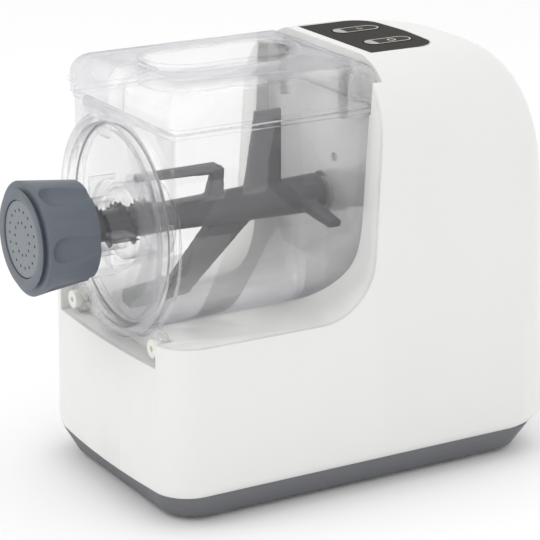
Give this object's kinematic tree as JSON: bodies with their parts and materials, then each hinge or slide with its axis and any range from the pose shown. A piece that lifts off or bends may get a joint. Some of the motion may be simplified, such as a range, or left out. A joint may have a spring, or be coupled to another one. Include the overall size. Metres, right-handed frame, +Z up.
{
  "type": "electric pasta maker",
  "caption": "Countertop electric pasta maker: white tower housing, clear mixing vessel with lid, front plate with clamping nut and die.",
  "frame": {"origin": "centre of the object's footprint on the ground", "axes": "-Y towards the clamping nut (front), +X to the right seen from the front, +Z up"},
  "size_m": [0.183, 0.352, 0.281],
  "materials": {
    "white_abs": "gloss",
    "grey_abs": "satin",
    "clear_plastic": "clear",
    "shaft_plastic": "satin",
    "nut_plastic": "satin",
    "die_plastic": "satin",
    "panel_plastic": "gloss",
    "trim_plastic": "satin",
    "key_plastic": "satin",
    "lens_plastic": "clear",
    "white_nylon": "satin",
    "rubber": "matte",
    "seal_rubber": "matte",
    "steel": "brushed",
    "aluminium": "cast",
    "brass": "turned",
    "bronze": "sintered",
    "acetal": "satin",
    "black_plastic": "matte",
    "copper_winding": "varnished",
    "ferrite": "matte",
    "board": "solder mask",
    "component_plastic": "satin"
  },
  "bodies": {
    "base": {"housing_shell": "white_abs", "housing_front": "white_abs", "vessel_deck": "white_abs", "deck_back": "white_abs", "base_tray": "grey_abs", "foot_front_left": "rubber", "foot_front_right": "rubber", "foot_rear_left": "rubber", "foot_rear_right": "rubber", "tray_screws": "steel", "panel_trim": "trim_plastic", "control_panel": "panel_plastic", "control_pcb": "board", "tact_switches": "black_plastic", "gearbox_case": "aluminium", "gearbox_cover": "aluminium", "gearbox_screws": "steel", "idler_axle": "steel", "drive_bush_front": "bronze", "drive_bush_rear": "bronze", "motor_can": "steel", "motor_magnets": "ferrite", "motor_end_cap": "black_plastic", "motor_screws": "steel", "power_pcb": "board", "pcb_components": "component_plastic", "pcb_screws": "steel", "cord_gland": "rubber", "safety_switch": "black_plastic"},
    "drive": {"output_gear": "acetal", "drive_shaft": "steel"},
    "idler": {"idler_gear": "acetal"},
    "rotor": {"motor_shaft": "steel", "motor_armature": "copper_winding", "motor_pinion": "brass", "cooling_fan": "black_plastic"},
    "vessel": {"mixing_vessel": "clear_plastic", "shaft_bush": "white_nylon", "shaft_seal": "seal_rubber", "bushing_left": "white_nylon", "bushing_right": "white_nylon", "hinge_pins": "steel"},
    "mixer": {"mixing_shaft": "shaft_plastic"},
    "lid": {"lid": "clear_plastic", "lid_pin": "clear_plastic"},
    "plate": {"front_plate": "clear_plastic", "plate_gasket": "seal_rubber"},
    "die": {"die_disc": "die_plastic"},
    "nut": {"clamping_nut": "nut_plastic"},
    "start_key": {"start_button": "key_plastic", "start_lens": "lens_plastic"},
    "power_key": {"power_button": "key_plastic", "power_lens": "lens_plastic"},
    "sensor": {"sensor_plunger": "black_plastic"}
  },
  "joints": [
    {"name": "vessel_slide", "type": "slide", "parent": "base", "child": "vessel", "axis": [0, -1, 0], "range_m": [0, 0.06]},
    {"name": "mixer_turn", "type": "hinge", "parent": "vessel", "child": "mixer", "pos_m": [0, 0, 0.179], "axis": [0, 1, 0], "continuous": true},
    {"name": "drive_turn", "type": "hinge", "parent": "base", "child": "drive", "pos_m": [0, 0, 0.179], "axis": [0, 1, 0], "continuous": true},
    {"name": "idler_turn", "type": "hinge", "parent": "base", "child": "idler", "pos_m": [0, 0, 0.1265], "axis": [0, 1, 0], "continuous": true},
    {"name": "motor_turn", "type": "hinge", "parent": "base", "child": "rotor", "pos_m": [0, 0, 0.0905], "axis": [0, 1, 0], "continuous": true},
    {"name": "lid_hinge", "type": "hinge", "parent": "vessel", "child": "lid", "pos_m": [0, 0.0365, 0.2725], "axis": [-1, 0, 0], "range_deg": [0, 80]},
    {"name": "plate_turn", "type": "hinge", "parent": "vessel", "child": "plate", "pos_m": [0, -0.109, 0.179], "axis": [0, -1, 0], "range_deg": [0, 30]},
    {"name": "die_slide", "type": "slide", "parent": "plate", "child": "die", "axis": [0, -1, 0], "range_m": [0, 0.0081]},
    {"name": "nut_turn", "type": "hinge", "parent": "die", "child": "nut", "pos_m": [0, -0.156, 0.179], "axis": [0, -1, 0], "range_deg": [0, 720]},
    {"name": "start_press", "type": "slide", "parent": "base", "child": "start_key", "axis": [0, 0, -1], "range_m": [0, 0.0008], "stiffness_N_per_m": 1500, "springref_m": -0.001},
    {"name": "power_press", "type": "slide", "parent": "base", "child": "power_key", "axis": [0, 0, -1], "range_m": [0, 0.0008], "stiffness_N_per_m": 1500, "springref_m": -0.001},
    {"name": "sensor_press", "type": "slide", "parent": "base", "child": "sensor", "axis": [0, 1, 0], "range_m": [0, 0.0012], "stiffness_N_per_m": 600, "springref_m": -0.0015}
  ],
  "couplings": [
    {"joint": "drive_turn", "follows": "mixer_turn", "ratio": 1},
    {"joint": "idler_turn", "follows": "mixer_turn", "ratio": -5},
    {"joint": "motor_turn", "follows": "mixer_turn", "ratio": 25},
    {"joint": "die_slide", "follows": "nut_turn", "m_per_rad": 0.00063662}
  ]
}
